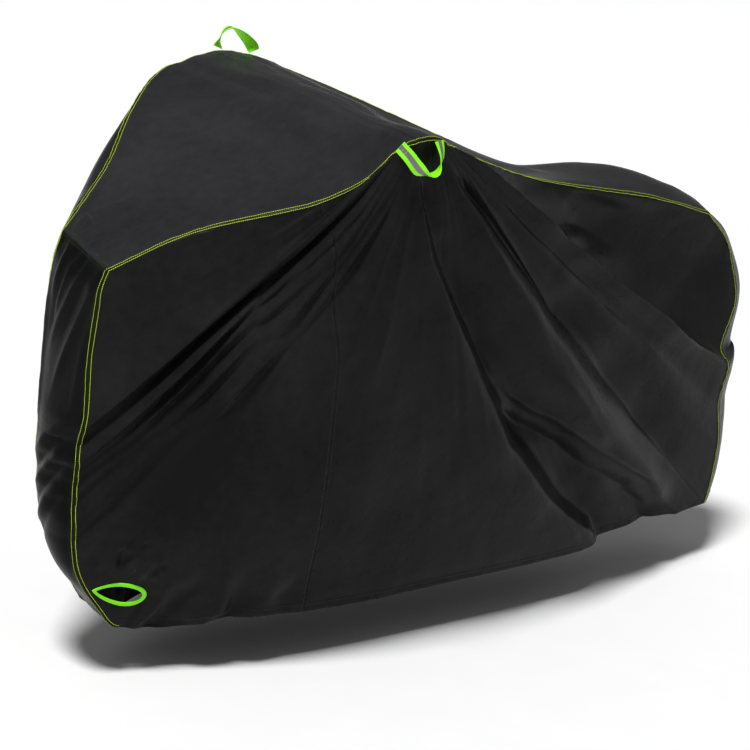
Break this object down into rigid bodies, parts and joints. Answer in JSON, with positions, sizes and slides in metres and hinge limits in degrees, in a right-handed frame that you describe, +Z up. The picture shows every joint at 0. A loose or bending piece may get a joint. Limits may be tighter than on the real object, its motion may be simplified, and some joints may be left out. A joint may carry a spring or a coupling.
{
  "type": "bicycle cover",
  "caption": "Fitted hollow cloth cover draped over a bicycle: fanned side panels, crowned top with rounded rear, narrow front strip, webbing loops on its shoulders and bound slits at its front.",
  "frame": {"origin": "on the underside of the top panel, halfway along the ridge between the two shoulders, where the cover hangs on what it covers", "axes": "+X from the cover's front to its back, -Y its left side (the near side in the picture), +Z up; the mount's axis is -Z, down into the hollow"},
  "size_m": [1.8561, 0.839, 1.0611],
  "materials": {
    "cloth_top": "satin black coated polyester weave",
    "cloth_front": "satin black coated polyester weave",
    "cloth_left_front": "satin black coated polyester weave",
    "cloth_left_rear": "satin black coated polyester weave",
    "cloth_right_front": "satin black coated polyester weave",
    "cloth_right_rear": "satin black coated polyester weave",
    "webbing_left": "matt neon green flat webbing",
    "webbing_right": "matt neon green flat webbing",
    "binding_left": "matt neon green binding tape",
    "binding_right": "matt neon green binding tape"
  },
  "bodies": {
    "root": {"top_panel": "cloth_top", "front_panel": "cloth_front", "side_left_front": "cloth_left_front", "side_left_rear": "cloth_left_rear", "side_right_front": "cloth_right_front", "side_right_rear": "cloth_right_rear", "loop_left": "webbing_left", "loop_right": "webbing_right", "eyelet_left": "binding_left", "eyelet_right": "binding_right"}
  },
  "joints": []
}
